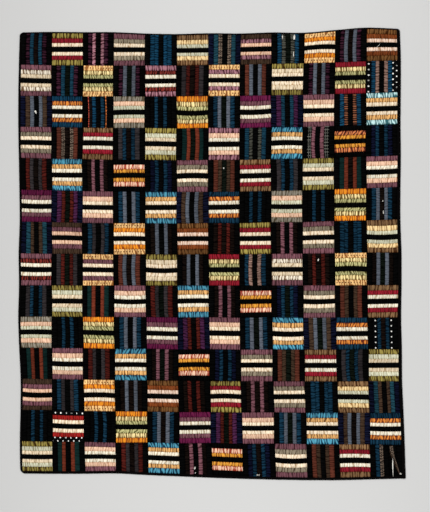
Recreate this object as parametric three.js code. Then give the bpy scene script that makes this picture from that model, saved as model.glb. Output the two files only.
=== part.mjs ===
// Roman stripes quilt, laid flat and face up on a level surface.
// The top edge points to +Y, the right edge to +X and the face to +Z. Millimetres.
// The quilt top is a patchwork of square blocks. Each block is seven ribbon strips side by side,
// and the strips run across in one block and up and down in the next.
// A black binding closes the edge, one strip on each side.
import * as THREE from 'three';

// Blocks and strips
const COLUMNS = 12;
const ROWS = 14;
const STRIPS = 7;
// Width of each strip of a block, as a share of an even seventh
const STRIP_SHARES = [1.14, 0.98, 0.82, 1.12, 0.82, 0.98, 1.14];

// Heights above the surface that the quilt lies on
const SEAM_HEIGHT = 2.7;
const CROWN_HEIGHT = 4.3;
const CROWN_UNEVENNESS = 0.25;
const LOFT_UNEVENNESS = 0.35;
// A strip's crown ends this far before its end seam
const CROWN_INSET = 7;
// Block corners stray from the smooth seam lines by up to this much
const SEWING_WANDER = 1.5;
// Lengths of the slight waves in which the cloth lies
const WIDE_WAVE = { x: 1070, y: 1320 };
const CLOSE_WAVE = { x: 383, y: 521 };
const WIDE_SHARE = 0.65;

// Binding
const BINDING_WIDTH = { left: 8, right: 12, top: 5, bottom: 9 };
const BINDING_HEIGHT = 5;
const PIECE_GAP = 0.3;
const CORNER_RADIUS = { topLeft: 15, topRight: 11, bottomLeft: 18, bottomRight: 4 };
// A strip ends at a round corner where it is this narrow
const BINDING_TIP = 1.5;
// A strip narrower than this is lower too, down to the least share of its height
const FULL_HEIGHT_WIDTH = 7;
const LEAST_HEIGHT_SHARE = 0.45;
// Sections at a round corner, as shares of the way from its start to its end
const CORNER_STEPS = [0, 0.15, 0.4, 0.7, 1];

// The folded strip's section, as shares of its width from the inner edge out and of its height
const BINDING_PROFILE = [
  { out: 0, up: 0 },
  { out: 0, up: 0.62 },
  { out: 0.25, up: 0.94 },
  { out: 0.6, up: 1 },
  { out: 0.88, up: 0.8 },
  { out: 1, up: 0.45 },
  { out: 0.96, up: 0.16 },
  { out: 0.82, up: 0 },
];

// Seams that run up and down, from left to right.
// x of the seam at the top, the middle and the bottom, and y where it meets the binding.
const COLUMN_SEAMS = [
  { xTop: -714, xMiddle: -714, xBottom: -711, yTop: 828, yBottom: -816 },
  { xTop: -602, xMiddle: -600, xBottom: -595, yTop: 830, yBottom: -817 },
  { xTop: -483, xMiddle: -484, xBottom: -476, yTop: 829, yBottom: -817 },
  { xTop: -368, xMiddle: -367, xBottom: -359, yTop: 829, yBottom: -816 },
  { xTop: -248, xMiddle: -248, xBottom: -239, yTop: 824, yBottom: -822 },
  { xTop: -130, xMiddle: -130, xBottom: -118, yTop: 822, yBottom: -827 },
  { xTop: -10, xMiddle: -12, xBottom: 4, yTop: 825, yBottom: -832 },
  { xTop: 108, xMiddle: 106, xBottom: 121, yTop: 824, yBottom: -836 },
  { xTop: 226, xMiddle: 226, xBottom: 241, yTop: 828, yBottom: -839 },
  { xTop: 349, xMiddle: 344, xBottom: 361, yTop: 827, yBottom: -841 },
  { xTop: 468, xMiddle: 463, xBottom: 482, yTop: 837, yBottom: -841 },
  { xTop: 584, xMiddle: 583, xBottom: 600, yTop: 846, yBottom: -838 },
  { xTop: 699, xMiddle: 701, xBottom: 715, yTop: 842, yBottom: -835 },
];

// Seams that run across, from the top down, without the first and the last: y at three places.
const ROW_SEAMS = [
  { yLeft: 713, yMiddle: 709, yRight: 728 },
  { yLeft: 595, yMiddle: 592, yRight: 609 },
  { yLeft: 478, yMiddle: 473, yRight: 490 },
  { yLeft: 360, yMiddle: 354, yRight: 371 },
  { yLeft: 242, yMiddle: 235, yRight: 251 },
  { yLeft: 123, yMiddle: 116, yRight: 129 },
  { yLeft: 4, yMiddle: -2, yRight: 6 },
  { yLeft: -117, yMiddle: -120, yRight: -116 },
  { yLeft: -236, yMiddle: -239, yRight: -237 },
  { yLeft: -353, yMiddle: -358, yRight: -357 },
  { yLeft: -469, yMiddle: -476, yRight: -479 },
  { yLeft: -585, yMiddle: -594, yRight: -599 },
  { yLeft: -702, yMiddle: -712, yRight: -718 },
];

// The left and right edges waver: how far each corner of a block lies to the right of its smooth
// line, from the top down.
const EDGE_WAVER = {
  left: [1, -2, -4, -4, -2, 0, 1, -3, -2, -5, -2, 3, 2, -1, 0],
  right: [-3, 1, 1, 0, 1, -1, -2, 1, 0, -3, -2, -3, 0, 2, 3],
};

// Where the underside's triangles meet
const UNDERSIDE_HUB = { x: 37, y: -23 };

const SILK = new THREE.MeshStandardMaterial({ color: 0x5a3340, roughness: 0.55, metalness: 0 });
const BLACK_TAPE = new THREE.MeshStandardMaterial({ color: 0x0d0b0d, roughness: 0.8, metalness: 0 });

// A parabola through three values at 0, 0.5 and 1.
function through(first, middle, last, t) {
  const lift = middle - (first + last) / 2;
  return first + (last - first) * t + lift * 4 * t * (1 - t);
}

// Repeatable scatter between -1 and 1.
function scatter(a, b) {
  return Math.sin(a * 12.9 + b * 7.3 + 0.7 * Math.sin(a * 3.1 - b * 5.3));
}

// A wave's phase at a distance along it.
function phase(distance, length) {
  return (2 * Math.PI * distance) / length;
}

// The cloth lies a little unevenly.
function loft(x, y) {
  const wide = Math.sin(phase(x, WIDE_WAVE.x) + 0.8) * Math.cos(phase(y, WIDE_WAVE.y) - 0.4);
  const close = Math.sin(phase(x, CLOSE_WAVE.x) + phase(y, CLOSE_WAVE.y) + 1.9);
  return LOFT_UNEVENNESS * (WIDE_SHARE * wide + (1 - WIDE_SHARE) * close);
}

function seamPoint(x, y) {
  return new THREE.Vector3(x, y, SEAM_HEIGHT + loft(x, y));
}

function cornerY(row, column) {
  if (row === 0) return COLUMN_SEAMS[column].yTop;
  if (row === ROWS) return COLUMN_SEAMS[column].yBottom;
  const seam = ROW_SEAMS[row - 1];
  return through(seam.yLeft, seam.yMiddle, seam.yRight, column / COLUMNS);
}

function cornerX(row, column) {
  const seam = COLUMN_SEAMS[column];
  const x = through(seam.xTop, seam.xMiddle, seam.xBottom, row / ROWS);
  if (column === 0) return x + EDGE_WAVER.left[row];
  if (column === COLUMNS) return x + EDGE_WAVER.right[row];
  return x;
}

// The meeting points of the blocks, row by row.
function blockCorners() {
  const corners = [];
  for (let row = 0; row <= ROWS; row += 1) {
    const line = [];
    for (let column = 0; column <= COLUMNS; column += 1) {
      const insideX = column > 0 && column < COLUMNS ? SEWING_WANDER : 0;
      const insideY = row > 0 && row < ROWS ? SEWING_WANDER : 0;
      const x = cornerX(row, column) + insideX * scatter(row, column);
      const y = cornerY(row, column) + insideY * scatter(column + 31, row);
      line.push(seamPoint(x, y));
    }
    corners.push(line);
  }
  return corners;
}

// Strips run across where row and column add up to an odd number, counted from zero.
function runsAcross(row, column) {
  return (row + column) % 2 === 1;
}

// The seven strips' edges as shares of a block's side, from 0 to 1.
function stripEdges() {
  const total = STRIP_SHARES.reduce((sum, share) => sum + share, 0);
  const edges = [0];
  for (const share of STRIP_SHARES) {
    edges.push(edges[edges.length - 1] + share / total);
  }
  edges[STRIPS] = 1;
  return edges;
}

// Eight points along one side of a block. The corners themselves are shared.
function sidePoints(from, to, edges) {
  const points = [from];
  for (let k = 1; k < STRIPS; k += 1) {
    const x = THREE.MathUtils.lerp(from.x, to.x, edges[k]);
    const y = THREE.MathUtils.lerp(from.y, to.y, edges[k]);
    points.push(seamPoint(x, y));
  }
  points.push(to);
  return points;
}

// Collects triangles and joins them into one indexed geometry.
class Skin {
  constructor() {
    this.numbers = new Map();
    this.positions = [];
    this.indices = [];
  }

  number(point) {
    if (!this.numbers.has(point)) {
      this.numbers.set(point, this.positions.length / 3);
      this.positions.push(point.x, point.y, point.z);
    }
    return this.numbers.get(point);
  }

  triangle(a, b, c) {
    this.indices.push(this.number(a), this.number(b), this.number(c));
  }

  geometry() {
    const geometry = new THREE.BufferGeometry();
    geometry.setAttribute('position', new THREE.Float32BufferAttribute(this.positions, 3));
    geometry.setIndex(this.indices);
    geometry.computeVertexNormals();
    return geometry;
  }
}

// The crown line of one strip, between the middles of its two ends.
function crownPoint(begin, finish, share, height) {
  const x = THREE.MathUtils.lerp(begin.x, finish.x, share);
  const y = THREE.MathUtils.lerp(begin.y, finish.y, share);
  return new THREE.Vector3(x, y, height + loft(x, y));
}

function middleOf(a, b) {
  return new THREE.Vector3().addVectors(a, b).multiplyScalar(0.5);
}

// A slope between a long edge and the crown. The edge lies to the left of the way from near to far.
function addLeftSlope(skin, edge, near, far) {
  const half = Math.floor((edge.length - 1) / 2);
  for (let i = 0; i < edge.length - 1; i += 1) {
    skin.triangle(edge[i], i < half ? near : far, edge[i + 1]);
  }
  skin.triangle(edge[half], near, far);
}

// The same on the other side of the crown.
function addRightSlope(skin, edge, near, far) {
  const half = Math.floor((edge.length - 1) / 2);
  for (let i = 0; i < edge.length - 1; i += 1) {
    skin.triangle(edge[i], edge[i + 1], i < half ? near : far);
  }
  skin.triangle(edge[half], far, near);
}

// One block: seven raised strips from the side start to the side end.
// first and last are the sides along the outer strips.
function addBlock(skin, start, end, first, last, seed) {
  const length = start[0].distanceTo(end[0]);
  const inset = CROWN_INSET / length;
  for (let k = 0; k < STRIPS; k += 1) {
    const begin = middleOf(start[k], start[k + 1]);
    const finish = middleOf(end[k], end[k + 1]);
    const height = CROWN_HEIGHT + CROWN_UNEVENNESS * scatter(seed, k);
    const near = crownPoint(begin, finish, inset, height);
    const far = crownPoint(begin, finish, 1 - inset, height);
    const leftEdge = k === 0 ? first : [start[k], end[k]];
    const rightEdge = k === STRIPS - 1 ? last : [start[k + 1], end[k + 1]];
    addLeftSlope(skin, leftEdge, near, far);
    addRightSlope(skin, rightEdge, near, far);
    skin.triangle(start[k], start[k + 1], near);
    skin.triangle(end[k + 1], end[k], far);
  }
}

// Points on every block side that runs across and on every one that runs up and down.
function blockSides(corners, edges) {
  const across = [];
  const upright = [];
  for (let row = 0; row <= ROWS; row += 1) {
    across.push([]);
    for (let column = 0; column < COLUMNS; column += 1) {
      across[row].push(sidePoints(corners[row][column], corners[row][column + 1], edges));
    }
  }
  for (let row = 0; row < ROWS; row += 1) {
    upright.push([]);
    for (let column = 0; column <= COLUMNS; column += 1) {
      upright[row].push(sidePoints(corners[row][column], corners[row + 1][column], edges));
    }
  }
  return { across, upright };
}

function addBlocks(skin, sides) {
  for (let row = 0; row < ROWS; row += 1) {
    for (let column = 0; column < COLUMNS; column += 1) {
      const top = sides.across[row][column];
      const bottom = sides.across[row + 1][column];
      const left = sides.upright[row][column];
      const right = sides.upright[row][column + 1];
      const seed = row * COLUMNS + column;
      if (runsAcross(row, column)) {
        addBlock(skin, left, right, top, bottom, seed);
      } else {
        addBlock(skin, bottom, top, left.toReversed(), right.toReversed(), seed);
      }
    }
  }
}

// The outline, clockwise seen from above, each point once.
function outlinePoints(sides) {
  const runs = [];
  for (let column = 0; column < COLUMNS; column += 1) {
    runs.push(sides.across[0][column]);
  }
  for (let row = 0; row < ROWS; row += 1) {
    runs.push(sides.upright[row][COLUMNS]);
  }
  for (let column = COLUMNS - 1; column >= 0; column -= 1) {
    runs.push(sides.across[ROWS][column].toReversed());
  }
  for (let row = ROWS - 1; row >= 0; row -= 1) {
    runs.push(sides.upright[row][0].toReversed());
  }
  return runs.flatMap((run) => run.slice(0, STRIPS));
}

// The cut edge and the flat underside, whose triangles meet at one hub near the middle.
function addEdgeAndUnderside(skin, outline) {
  const floor = outline.map((point) => new THREE.Vector3(point.x, point.y, 0));
  const hub = new THREE.Vector3(UNDERSIDE_HUB.x, UNDERSIDE_HUB.y, 0);
  for (let i = 0; i < outline.length; i += 1) {
    const next = (i + 1) % outline.length;
    skin.triangle(outline[i], outline[next], floor[next]);
    skin.triangle(outline[i], floor[next], floor[i]);
    skin.triangle(hub, floor[i], floor[next]);
  }
}

function patchwork(corners) {
  const skin = new Skin();
  const sides = blockSides(corners, stripEdges());
  addBlocks(skin, sides);
  addEdgeAndUnderside(skin, outlinePoints(sides));
  const mesh = new THREE.Mesh(skin.geometry(), SILK);
  mesh.name = 'patchwork';
  return mesh;
}

// How far a round corner draws an edge in, at a distance from the square corner.
function cornerInset(distance, radius) {
  if (distance >= radius) return 0;
  const rest = radius - Math.max(distance, 0);
  return radius - Math.sqrt(radius * radius - rest * rest);
}

// The binding's folded section at one place: across goes from the inner edge to the outer one.
function bindingSection(place, across, width, x, y) {
  const full = THREE.MathUtils.clamp(width / FULL_HEIGHT_WIDTH, LEAST_HEIGHT_SHARE, 1);
  const top = (BINDING_HEIGHT + loft(x, y)) * full;
  return BINDING_PROFILE.map(({ out, up }) => {
    const point = place.clone().addScaledVector(across, out * width);
    point.z = up * top;
    return point;
  });
}

// A solid through a row of sections.
function solidThrough(sections, name) {
  const skin = new Skin();
  const sides = sections[0].length;
  for (let i = 0; i < sections.length - 1; i += 1) {
    for (let k = 0; k < sides; k += 1) {
      const next = (k + 1) % sides;
      skin.triangle(sections[i][k], sections[i][next], sections[i + 1][next]);
      skin.triangle(sections[i][k], sections[i + 1][next], sections[i + 1][k]);
    }
  }
  const first = sections[0];
  const last = sections[sections.length - 1];
  for (let k = 1; k < sides - 1; k += 1) {
    skin.triangle(first[0], first[k + 1], first[k]);
    skin.triangle(last[0], last[k], last[k + 1]);
  }
  const mesh = new THREE.Mesh(skin.geometry(), BLACK_TAPE);
  mesh.name = name;
  return mesh;
}

// Straight runs between given points, read at any place along one axis.
function readLine(points, axis, other, value) {
  const sorted = [...points].sort((a, b) => a[axis] - b[axis]);
  let i = 0;
  while (i < sorted.length - 2 && value > sorted[i + 1][axis]) i += 1;
  const share = (value - sorted[i][axis]) / (sorted[i + 1][axis] - sorted[i][axis]);
  return THREE.MathUtils.lerp(sorted[i][other], sorted[i + 1][other], share);
}

// Distances from a square corner where the round corner needs a section.
function cornerSteps(radius, width) {
  const tip = cornerInset(Math.max(width - BINDING_TIP, 0), radius);
  return CORNER_STEPS.map((share) => tip + (radius - tip) * share);
}

// A strip on the left or right edge. It reaches past the patchwork to both outer edges.
function uprightBinding(corners, column, side, name) {
  const width = BINDING_WIDTH[side];
  const outward = side === 'left' ? -1 : 1;
  const inner = corners.map((line) => line[column]);
  const high = inner[0].y + BINDING_WIDTH.top;
  const low = inner[ROWS].y - BINDING_WIDTH.bottom;
  const radiusHigh = side === 'left' ? CORNER_RADIUS.topLeft : CORNER_RADIUS.topRight;
  const radiusLow = side === 'left' ? CORNER_RADIUS.bottomLeft : CORNER_RADIUS.bottomRight;
  const heights = [
    ...cornerSteps(radiusHigh, width).map((step) => high - step),
    ...inner.slice(1, ROWS).map((point) => point.y),
    ...cornerSteps(radiusLow, width).map((step) => low + step).reverse(),
  ];
  const across = new THREE.Vector3(outward, 0, 0);
  const sections = heights.map((y) => {
    const x = readLine(inner, 'y', 'x', y) + outward * PIECE_GAP;
    const drawnIn = Math.max(cornerInset(high - y, radiusHigh), cornerInset(y - low, radiusLow));
    const place = new THREE.Vector3(x, y, 0);
    return bindingSection(place, across, width - PIECE_GAP - drawnIn, x, y);
  });
  if (side === 'right') sections.reverse();
  return solidThrough(sections, name);
}

// A strip on the top or bottom edge, between the two upright ones.
function levelBinding(corners, row, side, name) {
  const width = BINDING_WIDTH[side];
  const outward = side === 'top' ? 1 : -1;
  const inner = corners[row];
  const left = inner[0].x;
  const right = inner[COLUMNS].x;
  const outerLeft = left - BINDING_WIDTH.left;
  const outerRight = right + BINDING_WIDTH.right;
  const radiusLeft = side === 'top' ? CORNER_RADIUS.topLeft : CORNER_RADIUS.bottomLeft;
  const radiusRight = side === 'top' ? CORNER_RADIUS.topRight : CORNER_RADIUS.bottomRight;
  const middles = inner.slice(1, COLUMNS).map((point) => point.x);
  const places = [left, left + radiusLeft, ...middles, right];
  const across = new THREE.Vector3(0, outward, 0);
  const sections = places.map((x) => {
    const y = readLine(inner, 'x', 'y', x) + outward * PIECE_GAP;
    const fromLeft = cornerInset(x - outerLeft, radiusLeft);
    const fromRight = cornerInset(outerRight - x, radiusRight);
    const place = new THREE.Vector3(x, y, 0);
    return bindingSection(place, across, width - PIECE_GAP - Math.max(fromLeft, fromRight), x, y);
  });
  if (side === 'top') sections.reverse();
  return solidThrough(sections, name);
}

const corners = blockCorners();
const quilt = new THREE.Group();
quilt.name = 'roman_stripes_quilt';
quilt.add(patchwork(corners));
quilt.add(uprightBinding(corners, 0, 'left', 'binding_left'));
quilt.add(uprightBinding(corners, COLUMNS, 'right', 'binding_right'));
quilt.add(levelBinding(corners, 0, 'top', 'binding_top'));
quilt.add(levelBinding(corners, ROWS, 'bottom', 'binding_bottom'));

// The origin is under the middle of the quilt's outer size.
const middle = new THREE.Box3().setFromObject(quilt).getCenter(new THREE.Vector3());
quilt.position.set(-middle.x, -middle.y, 0);

export default quilt;
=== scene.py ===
"""Roman stripes quilt, laid flat and face up.

Metres, +Z up. The quilt's top edge points to +Y and the camera looks straight down on it.
The quilt top is 14 rows of 12 blocks. Each block has seven silk ribbon strips, sewn side by side
on a foundation cloth and gathered a little along their length. A black binding closes the edge.
"""

import math
import random

import bmesh
import bpy
import numpy as np
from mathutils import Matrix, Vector


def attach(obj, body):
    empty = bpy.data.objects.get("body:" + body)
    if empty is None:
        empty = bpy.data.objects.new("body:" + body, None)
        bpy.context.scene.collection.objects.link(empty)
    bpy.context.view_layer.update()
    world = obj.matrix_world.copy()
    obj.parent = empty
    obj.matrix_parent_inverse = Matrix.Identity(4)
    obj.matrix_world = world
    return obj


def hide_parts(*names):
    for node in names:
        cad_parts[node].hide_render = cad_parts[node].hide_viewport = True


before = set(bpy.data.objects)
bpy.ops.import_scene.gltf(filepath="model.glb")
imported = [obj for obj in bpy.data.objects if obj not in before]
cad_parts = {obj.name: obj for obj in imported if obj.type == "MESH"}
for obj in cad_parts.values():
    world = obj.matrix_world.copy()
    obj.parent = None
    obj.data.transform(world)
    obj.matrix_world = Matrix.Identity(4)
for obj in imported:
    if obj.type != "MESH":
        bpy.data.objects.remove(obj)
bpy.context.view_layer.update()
BODY = "root"

TURN = 2 * math.pi

# Layout of the patchwork. The shares are the strips' widths in a block, one against another.
COLUMNS = 12
ROWS = 14
STRIPS = 7
STRIP_SHARES = (1.14, 0.98, 0.82, 1.12, 0.82, 0.98, 1.14)
STRIP_WIDTH = 0.0168
BLOCK_SIDE = 0.118

# Upright blocks reach over their side seams by this share of a block's side, and the strips that
# run across stop there.
TUCK = 0.0145

# The foundation cloth's mesh: its points along each side of a block.
FOUNDATION_POINTS_A_BLOCK = 4

# Heights above the surface that the quilt lies on, and how far the strips rise above their seams
FOUNDATION_TOP = 0.0019
SEAM_HEIGHT = 0.0027
CROWN_RISE = 0.0018

# The cloth lies unevenly: the height of that, and a wide and a close wave's lengths in x and y.
LOFT_UNEVENNESS = 0.00035
WIDE_WAVE = (1.070, 1.320)
CLOSE_WAVE = (0.383, 0.521)
WIDE_SHARE = 0.65

# Hand sewing: how far blocks' inner corners stray, and how much the widths of a block's strips
# differ and their seams lean and bend, as shares.
SEWING_WANDER = 0.0015
WIDTH_SPREAD = 0.06
SEAM_LEAN = 0.016
SEAM_BEND = 0.03

# Where a strip's mesh has points, as shares of its length and of its width. A ribbon with deep
# gathers has more of them along.
STRIP_START = (0, 0.004, 0.013)
STRIP_BODY = (0.03, 0.97)
STRIP_END = (0.987, 0.996, 1)
DEEP_GATHER = 0.3
DEEP_BODY_POINTS = 47
SHALLOW_BODY_POINTS = 25
ACROSS_POINTS = (0, 0.035, 0.16, 0.38, 0.62, 0.84, 0.965, 1)

# A strip's puffed form: two powers that round its crown, the length of its rounded ends, how its
# rim dips into the seams, and how unevenly strips are puffed.
CROWN_FLATNESS = 2.6
CROWN_FULLNESS = 0.55
END_ROUNDING = 0.003
RIM_DIP = 0.0005
RIM_DIP_POWER = 0.3
PUFF_SPREAD = 0.08

# Gathers: how far they raise a strip, the share of that in its middle, and the quicker wave that
# is laid over the first. Their slant swings along the ribbon, and their spacing wanders in a long
# and a short wave, each with its reach in gathers and its length.
GATHER_RISE = 0.34
GATHER_IN_MIDDLE = 0.45
OVERTONE = 0.3
OVERTONE_RATE = 1.63
LEAST_SWING = 0.3
SWING_LENGTH = 0.052
LONG_WANDER = (0.32, 0.061)
SHORT_WANDER = (0.20, 0.028)

# Binding. The side tapes end where the round corners leave them as wide as their tip. A tape
# narrower than full height needs is lower, down to the least share.
BINDING_WIDTH = {"left": 0.008, "right": 0.012, "top": 0.005, "bottom": 0.009}
BINDING_HEIGHT = 0.005
BINDING_TIP = 0.0015
BINDING_STEP = 0.005
FULL_HEIGHT_WIDTH = 0.007
LEAST_HEIGHT_SHARE = 0.45
CORNER_RADIUS = {
    ("top", "left"): 0.015, ("top", "right"): 0.011,
    ("bottom", "left"): 0.018, ("bottom", "right"): 0.004,
}

# Seams that run up and down: x at the top, the middle and the bottom, then y at both ends
COLUMN_SEAMS = (
    (-0.714, -0.714, -0.711, 0.828, -0.816),
    (-0.602, -0.600, -0.595, 0.830, -0.817),
    (-0.483, -0.484, -0.476, 0.829, -0.817),
    (-0.368, -0.367, -0.359, 0.829, -0.816),
    (-0.248, -0.248, -0.239, 0.824, -0.822),
    (-0.130, -0.130, -0.118, 0.822, -0.827),
    (-0.010, -0.012, 0.004, 0.825, -0.832),
    (0.108, 0.106, 0.121, 0.824, -0.836),
    (0.226, 0.226, 0.241, 0.828, -0.839),
    (0.349, 0.344, 0.361, 0.827, -0.841),
    (0.468, 0.463, 0.482, 0.837, -0.841),
    (0.584, 0.583, 0.600, 0.846, -0.838),
    (0.699, 0.701, 0.715, 0.842, -0.835),
)

# Inner seams that run across, from the top down: y at the left, the middle and the right.
ROW_SEAMS = (
    (0.713, 0.709, 0.728),
    (0.595, 0.592, 0.609),
    (0.478, 0.473, 0.490),
    (0.360, 0.354, 0.371),
    (0.242, 0.235, 0.251),
    (0.123, 0.116, 0.129),
    (0.004, -0.002, 0.006),
    (-0.117, -0.120, -0.116),
    (-0.236, -0.239, -0.237),
    (-0.353, -0.358, -0.357),
    (-0.469, -0.476, -0.479),
    (-0.585, -0.594, -0.599),
    (-0.702, -0.712, -0.718),
)

# The left and right edges waver: how far each corner of a block lies to the right of its smooth
# line, from the top down.
LEFT_WAVER = (
    0.001, -0.002, -0.004, -0.004, -0.002, 0.0, 0.001, -0.003,
    -0.002, -0.005, -0.002, 0.003, 0.002, -0.001, 0.0,
)
RIGHT_WAVER = (
    -0.003, 0.001, 0.001, 0.0, 0.001, -0.001, -0.002, 0.001,
    0.0, -0.003, -0.002, -0.003, 0.0, 0.002, 0.003,
)


# Silks: the crests' colour and the shade painted in the gathers' folds, both as 0 to 255, how
# deeply the ribbon is gathered, the gathers' pitch in metres and their slant in pitches. In a
# pattern, ink is the second colour, and spacing and radius are in metres. Each place is a share of
# the ribbon's width, with a row of dots' shift in spacings or a line's width as a share. share is
# how much of each spacing a bar or dash takes.


def silk(colour, shade, gather=0.5, pitch=0.011, lean=0.35, pattern=None, **details):
    """One kind of ribbon."""
    return dict(colour=colour, shade=shade, gather=gather, pitch=pitch, lean=lean,
                pattern=pattern, details=details)


SILKS = {
    "ivory": silk((236, 227, 204), (176, 152, 116), 0.3),
    "milk": silk((232, 220, 198), (112, 84, 56), 0.7, 0.0106),
    "cream": silk((244, 224, 194), (184, 150, 108), 0.24),
    "blush": silk((236, 206, 184), (176, 132, 98), 0.32),
    "tan_cream": silk((224, 204, 172), (164, 134, 92), 0.2),
    "straw": silk((240, 208, 150), (156, 112, 55), 0.45),
    "pale_yellow": silk((240, 216, 152), (102, 76, 25), 0.85, 0.0101),
    "moss": silk((184, 178, 122), (78, 71, 28), 0.62, 0.0101, 0.7),
    "pale_green": silk((203, 201, 175), (138, 126, 80), 0.2, 0.0086),
    "peach": silk((229, 188, 158), (174, 120, 82), 0.21, 0.0083),
    "coral": silk((240, 196, 164), (164, 55, 33), 0.8, 0.0106, 0.5),
    "gold": silk((226, 171, 104), (112, 66, 14), 0.55, 0.0095),
    "gold_dotted": silk((238, 190, 124), (145, 84, 25), 0.5, 0.0121, 0.5, "dots",
                        ink=(66, 30, 4), spacing=0.0108, radius=0.0024, places=((0.5, 0.0),)),
    "amber": silk((232, 140, 24), (142, 58, 0), 0.62, 0.0101),
    "marigold": silk((220, 151, 50), (118, 52, 2), 0.58, 0.0101),
    "orange": silk((222, 134, 52), (98, 26, 0), 0.88, 0.0106, 0.6),
    "flame": silk((226, 132, 76), (66, 2, 0), 1.0, 0.0106, 1.0),
    "rust": silk((120, 60, 26), (70, 28, 4), 0.4, 0.0081),
    "brown": silk((108, 72, 38), (52, 24, 2), 0.6),
    "tan": silk((130, 98, 66), (60, 30, 6), 0.7, 0.0113),
    "olive": silk((144, 129, 64), (54, 34, 1), 0.75, 0.0113),
    "mauve": silk((116, 74, 82), (60, 30, 34), 0.45, 0.0098),
    "rose": silk((160, 110, 120), (66, 26, 34), 0.75, 0.0113, 0.4),
    "crimson": silk((138, 24, 40), (86, 5, 10), 0.6, 0.0086),
    "scarlet": silk((150, 28, 24), (97, 9, 6), 0.5, 0.0086),
    "dark_red": silk((126, 46, 38), (30, 0, 0), 1.0, 0.0106),
    "oxblood": silk((74, 24, 18), (36, 6, 4), 0.6, 0.0098),
    "magenta": silk((92, 24, 58), (48, 0, 26), 0.4, 0.0086),
    "greige": silk((136, 124, 104), (66, 51, 33), 0.35, 0.0101),
    "grey": silk((138, 130, 116), (78, 67, 46), 0.6, 0.0101),
    "ice": silk((188, 222, 220), (40, 92, 98), 0.92, 0.0126, 0.8),
    "turquoise": silk((78, 150, 172), (0, 44, 68), 0.82, 0.0118, 0.6),
    "blue": silk((18, 61, 86), (0, 18, 32), 0.7, 0.0086),
    "teal": silk((20, 54, 70), (4, 24, 38), 0.5, 0.0086),
    "deep_teal": silk((30, 66, 78), (8, 34, 42), 0.45, 0.0098),
    "navy": silk((18, 48, 66), (0, 13, 24), 0.65, 0.0098),
    "ink": silk((13, 16, 36), (0, 0, 4), 0.6, 0.0098),
    "slate": silk((84, 89, 98), (46, 51, 58), 0.12, 0.0075),
    "plum": silk((56, 26, 40), (8, 0, 4), 0.9, 0.0113, 0.15),
    "grape": silk((68, 32, 62), (28, 4, 20), 0.45, 0.0098),
    "charcoal": silk((46, 41, 42), (22, 20, 21), 0.25, 0.0098),
    "cocoa": silk((88, 44, 32), (54, 20, 10), 0.4, 0.0086),
    "umber": silk((62, 46, 34), (32, 18, 12), 0.4, 0.0098),
    "dusty": silk((140, 110, 98), (67, 45, 31), 0.45, 0.0089),
    "taupe": silk((70, 70, 62), (12, 12, 8), 0.6, 0.0098),
    "russet": silk((104, 44, 28), (74, 26, 12), 0.2, 0.0086),
    "forest": silk((14, 36, 34), (6, 22, 20), 0.2, 0.0098),
    "black": silk((5, 5, 5), (0, 0, 0), 0.6, 0.0098),
    "pine": silk((12, 17, 12), (0, 2, 0), 0.5, 0.0098),
    "bark": silk((18, 11, 8), (2, 0, 0), 0.5, 0.0098),
    "speckled": silk((112, 96, 82), (34, 25, 20), 0.6, 0.0098, 0.35, "dots",
                     ink=(14, 8, 6), spacing=0.0082, radius=0.0026, places=((0.5, 0.0),)),
    "rungs": silk((148, 90, 60), (46, 19, 10), 0.5, 0.0098, 0.2, "bars",
                  ink=(20, 8, 6), spacing=0.0082, share=0.42),
    "polka": silk((8, 8, 9), (1, 1, 2), 0.15, 0.0098, 0.2, "dots",
                  ink=(252, 250, 242), spacing=0.0205, radius=0.0026, places=((0.5, 0.0),)),
    "polka_pair": silk((8, 8, 9), (1, 1, 2), 0.15, 0.0098, 0.2, "dots",
                       ink=(252, 250, 242), spacing=0.0205, radius=0.0026,
                       places=((0.12, 0.1), (0.82, 0.6))),
    "rose_piped": silk((20, 12, 10), (4, 2, 2), 0.3, 0.0098, 0.35, "dashes",
                       ink=(200, 84, 68), places=((0.16, 0.15),), spacing=0.0125, share=0.75),
    "orange_piped": silk((10, 8, 8), (3, 2, 2), 0.3, 0.0098, 0.35, "dashes",
                         ink=(236, 128, 66), places=((0.4, 0.17),), spacing=0.0125, share=0.5),
    "plaid": silk((12, 14, 13), (3, 3, 3), 0.3, 0.0098, 0.2, "plaid",
                  ink=(158, 156, 144), places=((0.3, 0.07), (0.7, 0.07)), spacing=0.0118),
}

# The first four rows, block by block from the left: outer, middle and inner strips.
# A block whose two sides differ names all seven strips.
CHART = (
    ("black plum teal", "olive crimson cream", "black plum rose", "mauve greige cream",
     "black blue blue", "tan straw pale_green", "ink deep_teal speckled", "umber rose peach",
     "black blue taupe", "gold_dotted amber cream", "black plum slate", "brown rust blush"),
    ("mauve milk tan_cream", "black plum teal", "gold_dotted pale_yellow moss", "black plum slate",
     "rose dark_red ivory", "black charcoal oxblood", "gold_dotted rose cream", "black cocoa slate",
     "olive tan_cream cream", "black plum slate", "crimson pale_yellow moss",
     "polka blue dusty black dusty blue polka_pair"),
    ("ink umber slate", "blue orange ivory", "black rose_piped blue black navy orange_piped black",
     "grey peach pale_green", "black black navy", "amber pale_yellow moss", "black navy slate",
     "magenta mauve ivory", "ink grape teal", "mauve peach cream", "black blue rungs",
     "ice gold cream"),
    ("mauve greige cream", "black cocoa speckled", "tan crimson ivory", "black charcoal navy",
     "olive pale_green tan_cream", "black forest russet", "rose peach ivory", "black teal taupe",
     "turquoise gold ivory", "black plaid mauve", "black flame marigold", "black ink navy"),
)

# Each lower row repeats a charted row, moved to the right by a number of blocks.
REPEATS = ((3, 5), (2, 5), (0, 6), (1, 8), (3, 9), (2, 9), (3, 7), (0, 5), (2, 10), (3, 8))

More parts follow.
